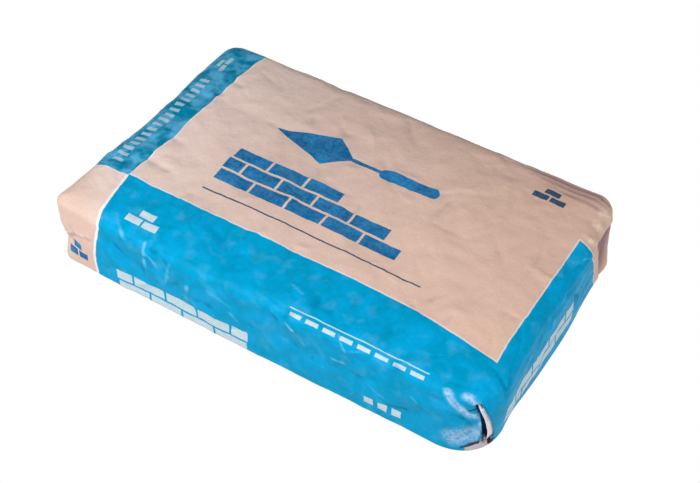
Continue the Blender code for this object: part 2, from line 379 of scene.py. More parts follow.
# Shapes round the mouth, by how far their corners are before the valve corner, on the near side, or
# past it, on the valve end, and how high. The gaps under the lobe, at the lip's top and behind the
# sleeve's foot are painted shadow. Below them is the bare paper of the base.
NEAR_GAP_SHADOWS = (
    ((0.030, 0.0190), (-0.003, 0.0338), (-0.003, 0.0238), (0.030, 0.0165)),
    ((0.030, 0.1010), (0.009, 0.1115), (0.009, 0.1060), (0.029, 0.0995)),
)
END_GAP_SHADOWS = (
    ((-0.003, 0.0315), (0.030, 0.0425), (0.030, 0.0290), (-0.003, 0.0215)),
    ((0.028, 0.0280), (0.039, 0.0250), (0.036, 0.0150), (0.026, 0.0180)),
)
NEAR_FOOT = (((0.024, 0.0190), (-0.004, 0.0300), (-0.004, -0.0100), (0.014, -0.0100)),)
END_FOOT = (((-0.004, 0.0290), (0.030, 0.0330), (0.036, 0.0040), (-0.004, -0.0100)),)

HALF = np.array((LENGTH, WIDTH, THICKNESS)) / 2
MIDDLE = np.array((0, 0, THICKNESS / 2))


def smoothstep(low, high, value):
    t = np.clip((value - low) / (high - low), 0.0, 1.0)
    return t * t * (3 - 2 * t)


def within(value, start, rise, end, fall):
    """Eases from 0 to 1 over a rise from the start, and back to 0 over a fall before the end."""
    return smoothstep(start, start + rise, value) * (1 - smoothstep(end - fall, end, value))


def by_corner(points, values):
    """Each point's value, by which of the four upright corners it is nearest."""
    found = np.zeros(len(points))
    for (along, across), value in values.items():
        found[(points[:, 0] * along >= 0) & (points[:, 1] * across >= 0)] = value
    return found


def near_corner(points, spread):
    """1 at an upright corner of the box, and 0 beyond spread from it along either side."""
    along = smoothstep(LENGTH / 2 - spread, LENGTH / 2, abs(points[:, 0]))
    across = smoothstep(WIDTH / 2 - spread, WIDTH / 2, abs(points[:, 1]))
    return along * across


def at_valve_corner(points):
    return (points[:, 0] > 0) & (points[:, 1] < 0)


def on_valve_end(box):
    return box[:, 0] > LENGTH / 2 - STEP_RUN / 2


def on_valve_walls(box):
    return on_valve_end(box) | (box[:, 1] < STEP_RUN / 2 - WIDTH / 2)


def unrolled(box):
    """Where points of the near side and the valve end lie along the wall: y on the end, and on past
    the corner along the side."""
    return np.where(on_valve_end(box), box[:, 1], -WIDTH / 2 - (LENGTH / 2 - box[:, 0]))


def rolled(along, z):
    """The plain box's points at places along the wall."""
    past_corner = np.maximum(-WIDTH / 2 - along, 0.0)
    return np.stack([LENGTH / 2 - past_corner, np.maximum(along, -WIDTH / 2), z], 1)


def lip_line(z):
    """Where the edge of the valve's lip lies along the wall."""
    climb = np.maximum(z - LIP_FOOT[1], 0.0)
    drawn = LIP_FOOT[0] - LIP_LEAN * climb - LIP_CURVE * climb * climb
    share = smoothstep(*LIP_FADES[0], z) * (1 - smoothstep(*LIP_FADES[1], z))
    return LIP_COLUMN + (drawn - LIP_COLUMN) * share


def lean_lip(box):
    """Slides the lattice along the wall, so that its column at the lip follows the lip's line."""
    along = unrolled(box)
    near = 1 - smoothstep(0.0, LIP_SPREAD, abs(along - LIP_COLUMN))
    slid = rolled(along + (lip_line(box[:, 2]) - LIP_COLUMN) * near, box[:, 2])
    return np.where((on_valve_walls(box) & (near > 0))[:, None], slid, box)


def section_round(points):
    """Rounds the long top and base edges."""
    p = points.copy()
    above = p[:, 2] > THICKNESS / 2
    reach = np.where(above, TOP_REACH, BASE_REACH)
    drop = np.where(above, TOP_DROP, BASE_DROP)
    rise = np.where(above, THICKNESS - drop, drop)
    way = np.where(above, 1.0, -1.0)
    up = np.maximum((p[:, 2] - rise) * way, 0.0) / drop
    along = np.maximum(abs(p[:, 0]) - (LENGTH / 2 - reach), 0.0) / reach
    across = np.maximum(abs(p[:, 1]) - (WIDTH / 2 - reach), 0.0) / reach
    out = np.maximum(along, across)
    span = np.maximum(np.hypot(up, out), 1e-9)
    pull = np.where((up > 0) & (out > 0), 1 - np.maximum(up, out) / span, 0.0)
    p[:, 0] -= np.sign(p[:, 0]) * along * reach * pull
    p[:, 1] -= np.sign(p[:, 1]) * across * reach * pull
    p[:, 2] -= way * up * drop * pull
    return p


def past_rounds(points):
    """How far points lie past the start of the nearest upright corner's round, along and across."""
    radius = by_corner(points, CORNER_ROUNDS)
    along = np.maximum(abs(points[:, 0]) - (LENGTH / 2 - radius), 0.0)
    across = np.maximum(abs(points[:, 1]) - (WIDTH / 2 - radius), 0.0)
    return along, across, np.maximum(np.hypot(along, across), 1e-9)


def corner_round(points):
    """Rounds the four upright corners in plan, each with its own radius."""
    along, across, span = past_rounds(points)
    pull = np.where((along > 0) & (across > 0), 1 - np.maximum(along, across) / span, 0.0)
    p = points.copy()
    p[:, 0] -= np.sign(p[:, 0]) * along * pull
    p[:, 1] -= np.sign(p[:, 1]) * across * pull
    return p


def outward(points):
    """The level way out of the sack's wall."""
    along, across, span = past_rounds(points)
    x = np.sign(points[:, 0]) * along / span
    y = np.sign(points[:, 1]) * across / span
    return np.stack([x, y, np.zeros(len(points))], 1)


def crown(points):
    """Lets the top panel fall a little towards its edges."""
    inside = np.minimum(LENGTH / 2 - abs(points[:, 0]), WIDTH / 2 - abs(points[:, 1]))
    high = smoothstep(THICKNESS / 2, THICKNESS, points[:, 2])
    p = points.copy()
    p[:, 2] -= CROWN_DROP * high * (1 - smoothstep(0.0, CROWN_MARGIN, inside))
    return p


def pull_corner(points):
    """Draws each corner of the ends out or in, least at the base."""
    height = PULL_AT_BASE + (1 - PULL_AT_BASE) * smoothstep(0.0, THICKNESS, points[:, 2])
    share = near_corner(points, CORNER_SPREAD) * height
    p = points.copy()
    p[:, 0] += np.sign(points[:, 0]) * share * by_corner(points, CORNER_PULLS_X)
    p[:, 1] += np.sign(points[:, 1]) * share * by_corner(points, CORNER_PULLS_Y)
    return p


def settle(box, out=0.0):
    """Where a point of the plain box lies on the filled sack, moved out of its wall."""
    p = corner_round(section_round(box))
    p = p + outward(p) * np.asarray(out).reshape(-1, 1)
    return pull_corner(crown(p))


def tuck(points, box):
    """How far an upright corner is pinched in. The valve corner has its mouth instead."""
    level = np.maximum(1 - abs(points[:, 2] - TUCK_MIDDLE) / TUCK_HALF_HEIGHT, 0.0)
    return np.where(at_valve_corner(box), 0.0, -TUCK_DEPTH * level * near_corner(box, TUCK_SPREAD))


def flap_height(z):
    """How far the flap's plies stand out at a height: full at the free edge, none at the top."""
    fade = 1 - smoothstep(THICKNESS - 2 * TOP_DROP, THICKNESS - TOP_DROP, z)
    return FLAP_PLY * fade * (z > FLAP_EDGE_HEIGHT)


def flap(box):
    """How far the outer flap stands out of an end."""
    reach = smoothstep(0.0, FLAP_FADE, WIDTH / 2 - abs(box[:, 1]))
    reach = np.where(at_valve_corner(box), 1.0, reach)
    on_end = abs(box[:, 0]) > LENGTH / 2 - STEP_RUN / 2
    past_lip = unrolled(box) - lip_line(box[:, 2])
    beyond_lip = ~at_valve_corner(box) | (past_lip > -LINING_STEP / 2)
    return np.where(on_end & beyond_lip, flap_height(box[:, 2]) * reach, 0.0)


def mouth_level(z):
    """1 along the height of the valve's mouth, easing to 0 past its ends."""
    return within(z, MOUTH_LOW, MOUTH_END, MOUTH_HIGH, MOUTH_END)


def lip_lift(past_lip, z):
    """How far the flap is lifted over the mouth, most at its lip."""
    return LIP_LIFT * mouth_level(z) * (1 - smoothstep(0.0, LIP_LIFT_RUN, past_lip))


def before_mouth(box):
    """How far out the near side stands before the mouth: a swollen lobe, which ends in a gap at the
    lip and hangs over a deep slit along its foot."""
    z = box[:, 2]
    before = lip_line(z) - unrolled(box)
    climb = np.clip((z - MOUTH_LOW) / (MOUTH_HIGH - MOUTH_LOW), 0, 1)
    gap = GAP_WIDTH + (GAP_TOP_WIDTH - GAP_WIDTH) * climb ** 2
    open_level = within(z, MOUTH_LOW - GAP_START, GAP_RISE, MOUTH_HIGH, GAP_FALL)
    in_gap = (1 - smoothstep(gap - GAP_EDGE, gap + GAP_EDGE, before)) * open_level
    foot = SLIT_HEIGHT - SLIT_FALL * before
    above = smoothstep(-SLIT_EDGE, SLIT_EDGE, z - foot)
    lobe = LOBE_HEIGHT * (1 - smoothstep(gap, LOBE_REACH, before)) * (1 - smoothstep(*LOBE_FADE, z)) * above
    slit = (1 - above) * np.exp(-np.maximum(foot - z, 0) / SLIT_SOFTNESS)
    slit *= 1 - smoothstep(*SLIT_FADE, before)
    out = lobe * (1 - in_gap) - np.maximum(GAP_DEPTH * in_gap, SLIT_DEPTH * slit)
    return np.where(on_valve_walls(box) & (before > LINING_STEP / 2), out, 0.0)


def shaded(box):
    """How much painted shade the inside of the mouth gets: 2 where nothing of the paper's colour is left.
    """
    z = box[:, 2]
    before = lip_line(z) - unrolled(box)
    level = within(z, MOUTH_LOW - SHADE_RUN, SHADE_RUN, MOUTH_HIGH, SHADE_RUN)
    inside = (1 - smoothstep(*SHADE_FADE, before)) * (before > 1.5 * LINING_STEP)
    return 2 * np.where(on_valve_walls(box), level * inside, 0.0)


def on_wall(past_lip, z):
    """The plain box's points that lie a way past the valve's lip, along the wall."""
    return rolled(lip_line(z) + past_lip, z)


def lined(points, box):
    """Draws the columns of the lattice at the lip in under the flap, as the mouth's lining."""
    level = mouth_level(box[:, 2])
    p = points.copy()
    for column, (under, out) in enumerate(LINING):
        natural = -column * LINING_STEP
        picked = on_valve_end(box) & (abs(box[:, 1] - LIP_COLUMN - natural) < SAME_PLACE)
        share = level[picked]
        z = box[picked, 2]
        lift = (LIP_LIFT if column < 2 else 0.0) + flap_height(z) - FLAP_PLY
        start = flap_height(z) if column == 0 else 0.0
        stand = start * (1 - share) + (out + lift) * share
        p[picked] = settle(on_wall(natural * (1 - share) + under * share, z), stand)
    return p


def box_lattice():
    """A box of the sack's size, cut into small cells that lie closer towards its edges."""
    mesh = bmesh.new()
    bmesh.ops.create_cube(mesh, size=2.0)
    for axis, count in enumerate(CELLS):
        along = [e for e in mesh.edges if abs(e.verts[0].co[axis] - e.verts[1].co[axis]) > 1]
        bmesh.ops.subdivide_edges(mesh, edges=along, cuts=count - 1)
    share = positions(mesh)
    crowded = (1 - CROWDING) * share + CROWDING * np.sin(share * math.pi / 2)
    place(mesh, crowded * HALF + MIDDLE)
    return mesh


def positions(mesh):
    return np.array([vertex.co for vertex in mesh.verts])


def place(mesh, points):
    for vertex, point in zip(mesh.verts, points):
        vertex.co = point


def on_sheet(spots, middle):
    """Where spots lie on the flat sheet. A face's middle tells which panel they are part of."""
    off = abs(middle - MIDDLE) - HALF
    panel = off.argmax(1)
    way = np.sign(middle - MIDDLE)
    x, y, z = spots.T
    down = THICKNESS - z
    u = np.where(panel == 0, way[:, 0] * (LENGTH / 2 + down), x)
    v = np.where(panel == 1, way[:, 1] * (WIDTH / 2 + down), y)
    under = (panel == 2) & (way[:, 2] < 0)
    return u, np.where(under, -WIDTH - THICKNESS - y, v)


def lay_out(data, box):
    """Gives each face its place on the flat sheet, as a UV map in metres."""
    corners = np.empty(len(data.loops), int)
    data.loops.foreach_get("vertex_index", corners)
    starts = np.empty(len(data.polygons), int)
    data.polygons.foreach_get("loop_start", starts)
    counts = np.empty(len(data.polygons), int)
    data.polygons.foreach_get("loop_total", counts)
    middle = np.add.reduceat(box[corners], starts) / counts[:, None]
    u, v = on_sheet(box[corners], np.repeat(middle, counts, axis=0))
    data.uv_layers.new(name="sheet").data.foreach_set("uv", np.stack([u, v], 1).ravel())


def ripple(points, size, seed):
    """Smooth noise between -1 and 1, with waves of about a size."""
    return np.array([noise.noise(Vector(p) / size + RIPPLE_SHIFT * seed) for p in points])


def crumple(u, v, spacing, seed):
    """Heights between -1 and 1 of crumpled paper: flat facets that meet in straight, sharp creases."""
    chance = np.random.default_rng(seed)
    counts = np.ceil((SHEET_HIGH - SHEET_LOW) / spacing).astype(int) + 1
    grid = np.stack(np.meshgrid(*map(np.arange, counts), indexing="ij"), -1).reshape(-1, 2)
    nodes = SHEET_LOW + (grid + chance.uniform(-JITTER, JITTER, grid.shape)) * spacing
    heights = chance.uniform(-1, 1, len(nodes))
    flats = geometry.delaunay_2d_cdt([Vector(node) for node in nodes], [], [], 0, 1e-6)[2]
    tree = BVHTree.FromPolygons([(*node, h * spacing) for node, h in zip(nodes, heights)], flats)
    above, down = 2 * spacing, Vector((0, 0, -1))
    return np.array([tree.ray_cast((x, y, above), down)[0].z for x, y in zip(u, v)]) / spacing


def beside_line(u, v, start, end):
    """How far spots of the sheet lie along a line and to the left of it, and the line's length."""
    run = np.subtract(end, start)
    span = math.hypot(*run)
    along = ((u - start[0]) * run[0] + (v - start[1]) * run[1]) / span
    left = ((v - start[1]) * run[0] - (u - start[0]) * run[1]) / span
    return along, left, span


def crease(u, v, start, end, height, width):
    """One straight fold in the sheet, sharp along its line and gone at its ends."""
    along, left, span = beside_line(u, v, start, end)
    taper = smoothstep(0, span / 3, span / 2 - abs(along - span / 2))
    return height * taper * np.exp(-abs(left) / width)


def overlap(u, v, start, end, height, width):
    """A fold lying over itself: it stands out on the left of its line, and drops off sharply."""
    along, left, span = beside_line(u, v, start, end)
    taper = smoothstep(0, span / 4, span / 2 - abs(along - span / 2))
    side = smoothstep(-LEDGE_EDGE, LEDGE_EDGE, left)
    over = side * np.exp(-np.maximum(left, 0) / width)
    under = (1 - side) * np.exp(np.minimum(left, 0) / (LEDGE_UNDERCUT * width))
    return height * taper * (over - under)


def in_dart(box):
    """1 at the deepest of the fold at the far right corner, which lies in flat facets."""
    y, z = box[:, 1] - DART_TIP[0], box[:, 2] - DART_TIP[1]
    below = (y * DART_FALL - z) / math.hypot(1, DART_FALL)
    inside = y * math.cos(DART_SIDE) + z * math.sin(DART_SIDE)
    before_end = DART_REACH - box[:, 1] - DART_SLANT * (DART_SLANT_TOP - box[:, 2])
    facets = [slope * way for slope, way in zip(DART_SLOPES, (below, inside, before_end))]
    depth = np.minimum(np.minimum(facets[0], facets[1]), facets[2])
    return np.where(on_valve_end(box), np.clip(depth / DART_DEPTH, 0.0, 1.0), 0.0)


def hollow(box):
    """How far the ends are sunk in, in wide soft hollows."""
    total = np.zeros(len(box))
    for side, y, z, across, high, depth in HOLLOWS:
        beside = 1 - smoothstep(0, across, abs(box[:, 1] - y))
        level = 1 - smoothstep(0, high, abs(box[:, 2] - z))
        at_end = 1 - smoothstep(0.0, HOLLOW_FADE, LENGTH / 2 - side * box[:, 0])
        total += depth * beside * level * at_end
    return total


def slackness(box):
    """How freely the paper crumples. It is taut along the upright corners, and calmer over the base
    and along the far top edge."""
    inside = np.minimum(*(HALF[:2, None] - abs(box[:, :2].T)))
    top = smoothstep(THICKNESS - TOP_EDGE[0], THICKNESS, box[:, 2])
    top *= 1 - smoothstep(0.0, TOP_EDGE[1], TOP_EDGE[1] - inside)
    beside = np.maximum(LENGTH / 2 - abs(box[:, 0]), WIDTH / 2 - abs(box[:, 1]))
    far_edge = smoothstep(WIDTH / 2 - FAR_REACH, WIDTH / 2, box[:, 1])
    far_edge *= smoothstep(THICKNESS / 2, THICKNESS, box[:, 2])
    slack = 1 - TOP_CALM * top
    slack *= np.maximum(smoothstep(0.0, UPRIGHT_EDGE, beside), top)
    slack *= 1 - FAR_CALM * far_edge
    slack *= 1 + NEAR_CRUMPLE * smoothstep(WIDTH / 2 - NEAR_REACH, WIDTH / 2, -box[:, 1])
    slack *= 1 - BASE_CALM * (1 - smoothstep(*BASE_CALM_FADE, box[:, 2]))
    return slack


def scattered_creases(u, v, box):
    """The heights of the small folds placed by chance, the same ones each run."""
    chance = np.random.default_rng(SCATTER_SEED)
    taut = 1 - CORNER_CALM * np.minimum(3 * near_corner(box, CORNER_SPREAD), 1.0)
    total = np.zeros(len(box))
    for count, part, halves, usual_height, widths, by_corners in SCATTERED:
        calm = taut if by_corners else 1.0
        for _ in range(count):
            middle = chance.uniform(*part)
            turn = chance.uniform(0, math.pi)
            half = chance.uniform(*halves) * np.array((math.cos(turn), math.sin(turn)))
            height = chance.normal() * usual_height
            total += calm * crease(u, v, middle - half, middle + half, height, chance.uniform(*widths))
    return total


def relief(points, box):
    """How far the crumpled paper stands out of the smooth sack."""
    u, v = on_sheet(box, box)
    slack = slackness(box)
    rise = sum(height * ripple(points, size, seed) for size, height, seed in RIPPLES)
    for spacing, height, seed, share in CRUMPLES:
        window = ripple(points, WINDOW_SIZE * spacing, seed + WINDOW_SEEDS) + share
        window = smoothstep(-WINDOW_EDGE, WINDOW_EDGE, window)
        rise += height * crumple(u, v, spacing, seed) * window * slack
    for fold in CREASES:
        rise += crease(u, v, *fold)
    for ledge in LEDGES:
        rise += overlap(u, v, *ledge)
    return rise + scattered_creases(u, v, box) * slack


def mouth_calm(box):
    """0 round the valve's mouth, where the layers of paper lie close, and 1 away from it."""
    past = unrolled(box) - lip_line(box[:, 2])
    near = (1 - smoothstep(*MOUTH_CALM_REACH, abs(past))) * on_valve_walls(box)
    level = abs(box[:, 2] - (MOUTH_LOW + MOUTH_HIGH) / 2) - (MOUTH_HIGH - MOUTH_LOW) / 2
    return 1 - near * (1 - smoothstep(*MOUTH_CALM_RISE, level))


def along_lines(box, lines):
    """1 along the strongest of some creases of the sheet, fading out beside them."""
    u, v = on_sheet(box, box)
    total = np.zeros(len(box))
    for start, end, width, strength in lines:
        total = np.maximum(total, crease(u, v, start, end, strength, width))
    return total


def scuffed(box):
    """How much of the ink is scuffed off round the valve's mouth."""
    u, v = on_sheet(box, box)
    total = np.zeros(len(box))
    for start, end, reach, strength in SCUFFS:
        run = np.subtract(end, start)
        spot = np.stack([u - start[0], v - start[1]], 1)
        share = np.clip(spot @ run / (run @ run), 0, 1)
        off = np.linalg.norm(spot - share[:, None] * run, axis=1)
        total = np.maximum(total, strength * (1 - smoothstep(0.3 * reach, reach, off)))
    return total


def cut_end(mesh, side, axis, places):
    """Cuts one end face of the box along lines across an axis."""
    normal = Vector([float(axis == i) for i in range(3)])
    for spot in places:
        limit = LENGTH / 2 - CUT_TOLERANCE
        faces = [face for face in mesh.faces if all(v.co.x * side > limit for v in face.verts)]
        edges = {edge for face in faces for edge in face.edges}
        verts = {vertex for face in faces for vertex in face.verts}
        whole = list(verts) + list(edges) + faces
        plane = {"plane_co": normal * spot, "plane_no": normal}
        bmesh.ops.bisect_plane(mesh, geom=whole, dist=CUT_TOLERANCE, **plane)


def convexity(mesh):
    """How sharply the paper stands out at each vertex, as its height over its neighbours, evened
    out over them."""
    ends = np.array([(edge.verts[0].index, edge.verts[1].index) for edge in mesh.edges])
    points = positions(mesh)
    normals = np.array([vertex.normal for vertex in mesh.verts])
    count = np.bincount(ends.ravel(), minlength=len(points))
    around = np.zeros_like(points)
    reach = np.zeros(len(points))
    spans = np.linalg.norm(points[ends[:, 0]] - points[ends[:, 1]], axis=1)
    for one, other in (ends.T, ends.T[::-1]):
        np.add.at(around, one, points[other])
        np.add.at(reach, one, spans)
    found = ((points - around / count[:, None]) * normals).sum(1) / (reach / count)
    for _ in range(EVENING_PASSES):
        total = np.zeros(len(points))
        for one, other in (ends.T, ends.T[::-1]):
            np.add.at(total, one, found[other])
        found = (found + total / count) / 2
    return found


def object_from(mesh, name):
    """Makes the mesh a smooth object, with its sharp edges kept."""
    data = bpy.data.meshes.new(name)
    mesh.to_mesh(data)
    mesh.free()
    thing = bpy.data.objects.new(name, data)
    bpy.context.scene.collection.objects.link(thing)
    data.shade_smooth()
    data.set_sharp_from_angle(angle=SHARP_FROM)
    return thing


def off_middle(points):
    """The way that brings the middle of the points' reach over the origin."""
    shift = -(points.max(0) + points.min(0)) / 2
    shift[2] = 0
    return shift


def centring():
    """The way that brings the smooth sack's reach over the origin."""
    lattice = box_lattice()
    shift = off_middle(settle(positions(lattice)))
    lattice.free()
    return shift


def filled_sack():
    """The sack's paper: the lattice settled, its flaps and mouth stood out of the walls, and its
    crumples moved along its normals."""
    mesh = box_lattice()
    flap_edge = [FLAP_EDGE_HEIGHT - STEP_RUN / 2, FLAP_EDGE_HEIGHT + STEP_RUN / 2]
    cut_end(mesh, -1, 2, flap_edge)
    cut_end(mesh, 1, 2, flap_edge)
    cut_end(mesh, 1, 1, [LIP_COLUMN - column * LINING_STEP for column in range(len(LINING))])
    box = positions(mesh)
    leaning = lean_lip(box)
    base = settle(leaning)
    past_lip = unrolled(leaning) - lip_line(box[:, 2])
    on_flap = on_valve_end(box) & (box[:, 1] > LIP_COLUMN - LINING_STEP / 2)
    out = tuck(base, leaning) - DART_DEPTH * in_dart(leaning) + flap(leaning)
    out += np.where(on_flap, lip_lift(past_lip, box[:, 2]), before_mouth(leaning))
    points = lined(settle(leaning, out), box)
    points[:, 0] -= np.sign(points[:, 0]) * hollow(leaning)
    place(mesh, points)
    mesh.normal_update()
    smooth_bends = convexity(mesh)
    normals = np.array([vertex.normal for vertex in mesh.verts])
    points += normals * (relief(points, leaning) * mouth_calm(leaning))[:, None]
    points[:, 2] = np.maximum(points[:, 2], 0.0)
    place(mesh, points + off_middle(base))
    mesh.normal_update()
    wear = wear_of(leaning, convexity(mesh) - smooth_bends)
    sack = object_from(mesh, "sack_paper")
    lay_out(sack.data, leaning)
    for name, values in wear.items():
        sack.data.attributes.new(name, "FLOAT", "POINT").data.foreach_set("value", values)
    return sack


def wear_of(box, bends):
    """How worn and scuffed the paper is at each point, and how much painted highlight and painted shade it
    gets, by its bends and its creases.
    """
    on_top = smoothstep(THICKNESS - TOP_PANEL_RUN, THICKNESS, box[:, 2])
    # Bends that stand out are rubbed pale, partly by wear and partly as painted highlight; the pale creases
    # are painted highlights
    wear_and_sheen = (1 - WEAR_AND_SHEEN_ON_TOP * on_top) * smoothstep(*BEND_RANGE, bends)
    # Painted shade in sunken bends, in the fold at the far right corner and along the dark creases
    shade_tint = (FOLD_SHADE_SHARE - FOLD_SHADE_ON_TOP * on_top) * smoothstep(*BEND_RANGE, -bends) * mouth_calm(box)
    painted_shade = np.maximum(np.maximum(shade_tint, in_dart(box)), along_lines(box, SHADED_CREASES))
    return {
        "wear_and_sheen": np.maximum(wear_and_sheen, along_lines(box, HIGHLIT_CREASES)),
        "painted_shade": np.maximum(painted_shade, shaded(box)),
        "scuffed": scuffed(box),
    }


def valve_sleeve():
    """The flattened paper tube in the mouth, its free edge curled out beside the flap's. Two grids of
    cells make its skin: one runs in along the inside of the tube and over the paper's deep edge, and
    the other over its free edge and in along the outside."""
    rows, count = SLEEVE_CELLS
    mesh = bmesh.new()
    for _ in range(2):
        bmesh.ops.create_grid(mesh, x_segments=rows, y_segments=count, size=1.0)
    cells = positions(mesh)
    along = np.rint((cells[:, 0] + 1) * rows / 2)
    second = np.arange(len(cells)) >= len(cells) / 2
    row = np.where(second, 2 * rows - along, along) % (2 * rows)
    turn = 2 * math.pi * (np.rint((cells[:, 1] + 1) * count / 2) % count) / count
    outside = row >= rows
    depth = np.where(outside, 2 * rows - 1 - row, row) / (rows - 1)
    wall = np.where(outside, SLEEVE_PLY, 0.0)
    place(mesh, sleeve_points(turn, depth, wall))
    bmesh.ops.remove_doubles(mesh, verts=mesh.verts, dist=SEAM_TOLERANCE)
    bmesh.ops.recalc_face_normals(mesh, faces=mesh.faces)
    bmesh.ops.translate(mesh, verts=mesh.verts, vec=centring())
    return object_from(mesh, "valve_paper")


def sleeve_points(turn, depth, wall):
    """Where the sleeve's paper lies, by the turn round the flattened tube, the depth, from 0 at the
    free edge to 1, and how far through the paper."""
    height = np.clip(SLEEVE_ROUNDNESS * np.sin(turn), -1, 1)
    outer = 0.5 + 0.5 * np.tanh(SLEEVE_FOLD * np.cos(turn)) / math.tanh(SLEEVE_FOLD)
    narrow = SLEEVE_NARROWING * smoothstep(0.0, SLEEVE_NARROW_AT, depth)
    half = (MOUTH_HIGH - MOUTH_LOW) / 2 - SLEEVE_CLEARANCE - narrow
    z = (MOUTH_HIGH + MOUTH_LOW) / 2 + half * height
    head = np.clip((z - SLEEVE_HEAD[0]) / SLEEVE_HEAD[1], 0, 1) ** 2
    foot = np.clip((SLEEVE_FOOT[0] - z) / SLEEVE_FOOT[1], 0, 1) ** 2
    edge = SLEEVE_INNER_EDGE + (SLEEVE_HEAD[2] * head - SLEEVE_PROUD - SLEEVE_FOOT[2] * foot) * outer
    edge += SLEEVE_RAGGEDNESS * ripple(np.stack([z, outer * 0.02, 0 * z], 1), SLEEVE_RAGS, SLEEVE_RAG_SEED)
    past = edge + (SLEEVE_DEPTH - edge) * depth ** SLEEVE_CROWDING
    inside = np.clip(past, 0.0, None)
    curl = np.clip(-past / SLEEVE_CURL_RUN, 0, 1.6)
    roof = flap_height(z) + SLEEVE_ROOF + lip_lift(inside, z) + SLEEVE_CURL * curl ** 2
    roof -= SLEEVE_ROOF_FALL[0] * smoothstep(0.0, SLEEVE_ROOF_FALL[1], inside)
    floor = SLEEVE_FLOOR + SLEEVE_FLOOR_CLIMB * inside
    out = floor + (roof - floor) * outer - SLEEVE_FOOT[2] * foot * curl * outer
    rise = 0.5 * wall * np.sin(turn) - SLEEVE_FOOT_DROP * foot * curl
    return settle(on_wall(past, z) + np.outer(rise, (0, 0, 1)), out + wall * (2 * outer - 1))


def linear(colour):
    """An sRGB hex colour as linear values, with an alpha of 1."""
    values = [int(colour[i:i + 2], 16) / 255 for i in (1, 3, 5)]
    return [v / 12.92 if v <= 0.04045 else ((v + 0.055) / 1.055) ** 2.4 for v in values] + [1.0]


def add(tree, kind, inputs=None, **settings):
    """Adds a node with its settings. Each input is a value, or another node's output to link."""
    node = tree.nodes.new("ShaderNode" + kind)
    for name, value in settings.items():
        setattr(node, name, value)
    for name, value in (inputs or {}).items():
        if isinstance(value, bpy.types.NodeSocket):
            tree.links.new(value, node.inputs[name])
        else:
            node.inputs[name].default_value = value
    return node.outputs


def new_material(name):
    material = bpy.data.materials.new(name)
    material.use_nodes = True
    return material, material.node_tree.nodes["Principled BSDF"]


def laid_over(tree, colour, layers):
    """A colour with layers of ink, wear or dirt over it: each layer's share of cover, and its tone."""
    for share, tone in layers:
        tone = linear(tone) if isinstance(tone, str) else tone
        colour = add(tree, "Mix", {0: share, 6: colour, 7: tone}, data_type="RGBA")[2]
    return colour


def beyond(tree, spot, direction, edge):
    """How far a spot of the sheet lies past a straight edge, along a direction."""
    along = add(tree, "VectorMath", {0: spot, 1: (*direction, 0)}, operation="DOT_PRODUCT")["Value"]
    return add(tree, "Math", {0: along, 1: edge}, operation="SUBTRACT")[0]


def past_line(tree, spot, start, end):
    """How far a spot of the sheet lies to the left of the line from start to end."""
    run, climb = end[0] - start[0], end[1] - start[1]
    span = math.hypot(run, climb)
    across = (-climb / span, run / span)
    return beyond(tree, spot, across, across[0] * start[0] + across[1] * start[1])


def combined(tree, values, operation):
    """With MAXIMUM, the overlap of distances or all of some masks. With MINIMUM, all of some
    distances together."""
    total = values[0]
    for value in values[1:]:
        total = add(tree, "Math", {0: total, 1: value}, operation=operation)[0]
    return total


def away_from(tree, spot, centre):
    """How far a spot of the sheet is from a centre, along u and along v."""
    away = add(tree, "VectorMath", {0: spot, 1: (*centre, 0)}, operation="SUBTRACT")[0]
    return add(tree, "VectorMath", {0: away}, operation="ABSOLUTE")[0]


def block(tree, spot, centre, size):
    """The distance from a spot of the sheet to a block."""
    half = (size[0] / 2, size[1] / 2, 0)
    away = add(tree, "VectorMath", {0: away_from(tree, spot, centre), 1: half}, operation="SUBTRACT")[0]
    away = add(tree, "SeparateXYZ", {0: away})
    return add(tree, "Math", {0: away[0], 1: away[1]}, operation="MAXIMUM")[0]


def rounded(tree, spot, centre, size, radius):
    """The distance from a spot of the sheet to a block with round corners."""
    core = (size[0] / 2 - radius, size[1] / 2 - radius, 0)
    away = add(tree, "VectorMath", {0: away_from(tree, spot, centre), 1: core}, operation="SUBTRACT")[0]
    away = add(tree, "VectorMath", {0: away, 1: (0, 0, 0)}, operation="MAXIMUM")[0]
    away = add(tree, "VectorMath", {0: away}, operation="LENGTH")["Value"]
    return add(tree, "Math", {0: away, 1: radius}, operation="SUBTRACT")[0]


def shape(tree, spot, corners):
    """The distance to a convex shape with straight sides, its corners given clockwise."""
    sides = zip(corners, corners[1:] + corners[:1])
    return combined(tree, [past_line(tree, spot, start, end) for start, end in sides], "MAXIMUM")


def inked(tree, distance, edge=PRINT_EDGE):
    """1 inside a shape and 0 outside it, with a soft edge."""
    return add(tree, "MapRange", {0: distance, 1: -edge, 2: edge, 3: 1.0, 4: 0.0})[0]


def brickwork(tree, spot, start, brick, joint, parts):
    """1 on the bricks of a wall in running bond, laid from a start, within the parts given."""
    local = add(tree, "VectorMath", {0: spot, 1: (*start, 0)}, operation="SUBTRACT")[0]
    half_on = add(tree, "VectorMath", {0: local, 1: (brick[0] / 2, 0, 0)}, operation="ADD")[0]
    mortar = add(tree, "TexBrick", {
        "Vector": half_on,
        "Scale": 1.0,
        "Mortar Size": joint / 2,
        "Mortar Smooth": MORTAR_SOFTNESS,
        "Brick Width": brick[0],
        "Row Height": brick[1],
    }, offset=0.5)["Fac"]
    outline = combined(tree, [block(tree, local, *part) for part in parts], "MINIMUM")
    return add(tree, "Math", {0: inked(tree, outline), 1: mortar}, operation="SUBTRACT", use_clamp=True)[0]


def stack_of_three(tree, spot, start, brick, joint):
    """A small stack: two bricks with one over their joint."""
    long, high = brick
    parts = (((long, high / 2), (2 * long, high)), ((long, 1.5 * high), (long, high)))
    return brickwork(tree, spot, start, brick, joint, parts)


